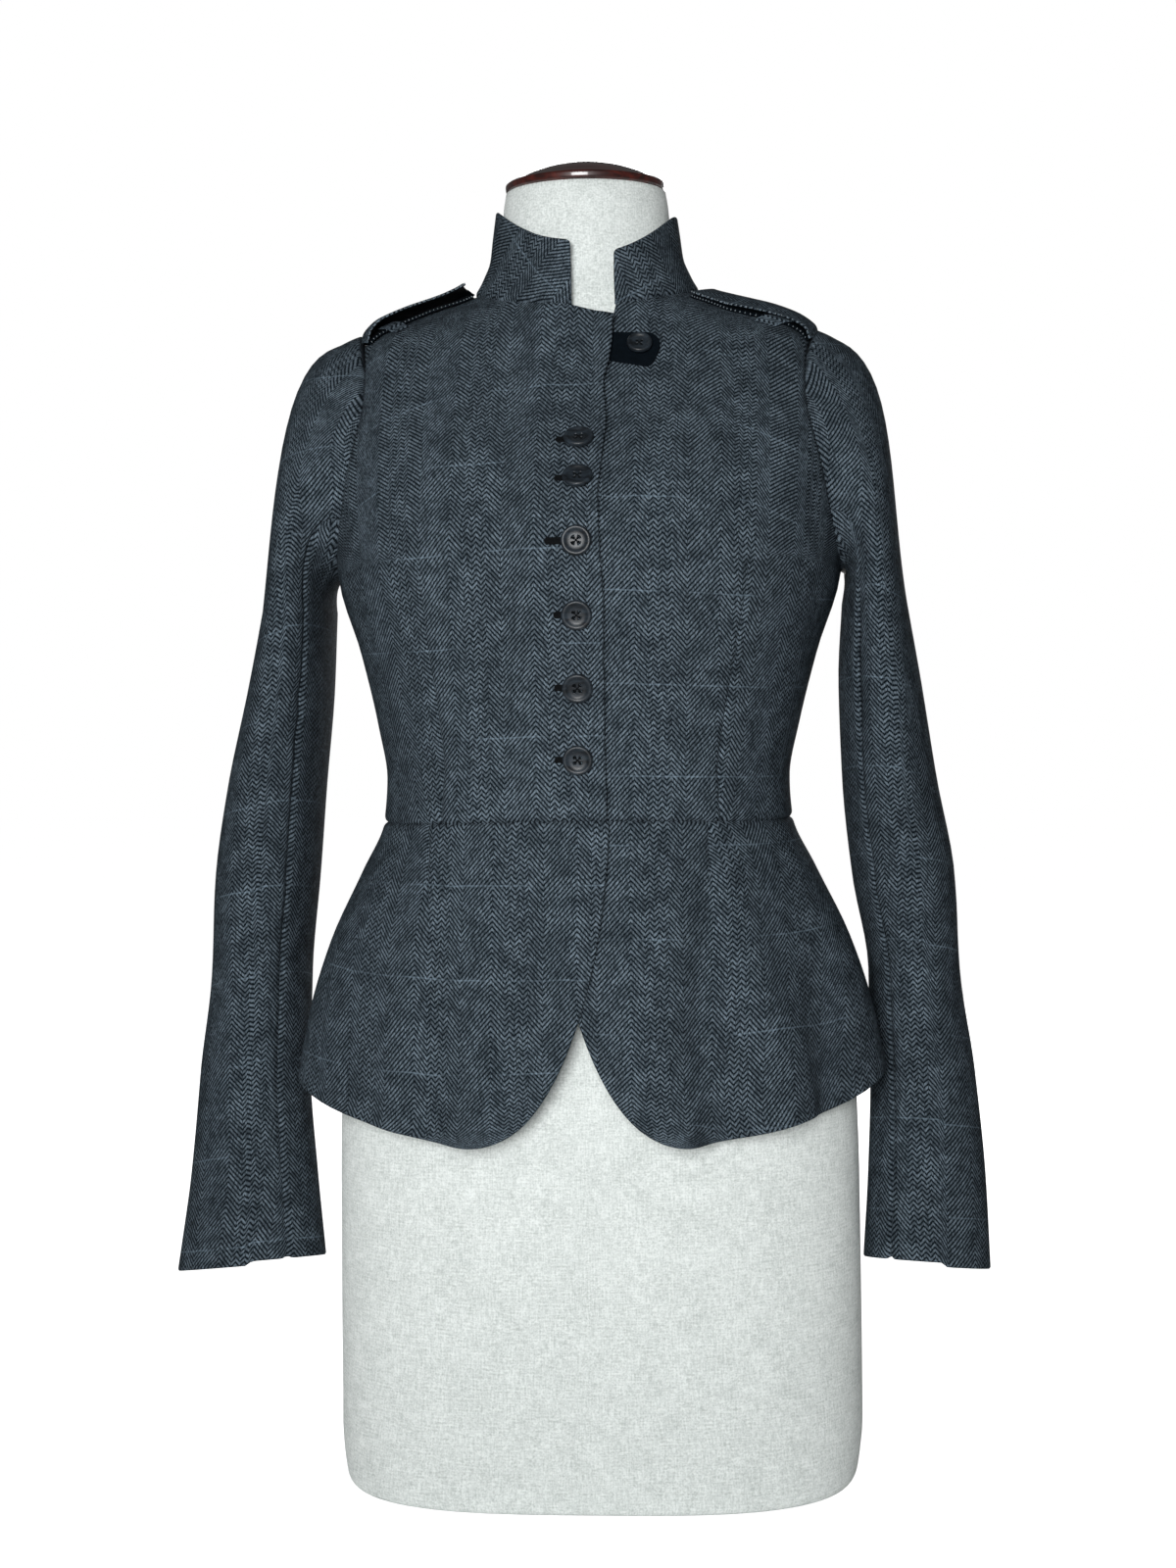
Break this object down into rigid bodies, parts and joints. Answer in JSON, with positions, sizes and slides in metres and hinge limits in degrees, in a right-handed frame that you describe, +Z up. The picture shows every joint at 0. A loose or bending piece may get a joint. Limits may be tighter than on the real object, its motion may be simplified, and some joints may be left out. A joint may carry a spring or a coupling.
{
  "type": "peplum jacket on dress form",
  "caption": "Women's tailored wool jacket with stand collar, epaulettes, buttoned front, long sleeves and flared peplum, worn on a limbless linen dress form with a turned neck cap.",
  "frame": {"origin": "middle of the dress form's flat underside", "axes": "+Z up; the jacket's front faces -Y; +X is the wearer's left"},
  "size_m": [0.5325, 0.2983, 0.8459],
  "materials": {
    "wool": "herringbone wool, napped",
    "ribbon": "dark ribbon, dull",
    "linen": "plain linen cover, matt",
    "wood": "dark red varnish",
    "horn": "polished, horn-like"
  },
  "bodies": {
    "root": {"bodice_back_left": "wool", "bodice_back_right": "wool", "bodice_front_left": "wool", "bodice_front_right": "wool", "button_1": "horn", "button_2": "horn", "button_3": "horn", "button_4": "horn", "button_5": "horn", "button_6": "horn", "button_neck": "horn", "collar": "wool", "dress_form": "linen", "epaulette_base_left": "wool", "epaulette_base_right": "wool", "epaulette_left": "wool", "epaulette_loop_left": "wool", "epaulette_loop_right": "wool", "epaulette_right": "wool", "form_neck_cap": "wood", "neck_tab": "ribbon", "peplum_back_left": "wool", "peplum_back_right": "wool", "peplum_front_left": "wool", "peplum_front_right": "wool", "sleeve_under_left": "wool", "sleeve_under_right": "wool", "sleeve_upper_left": "wool", "sleeve_upper_right": "wool"}
  },
  "joints": []
}
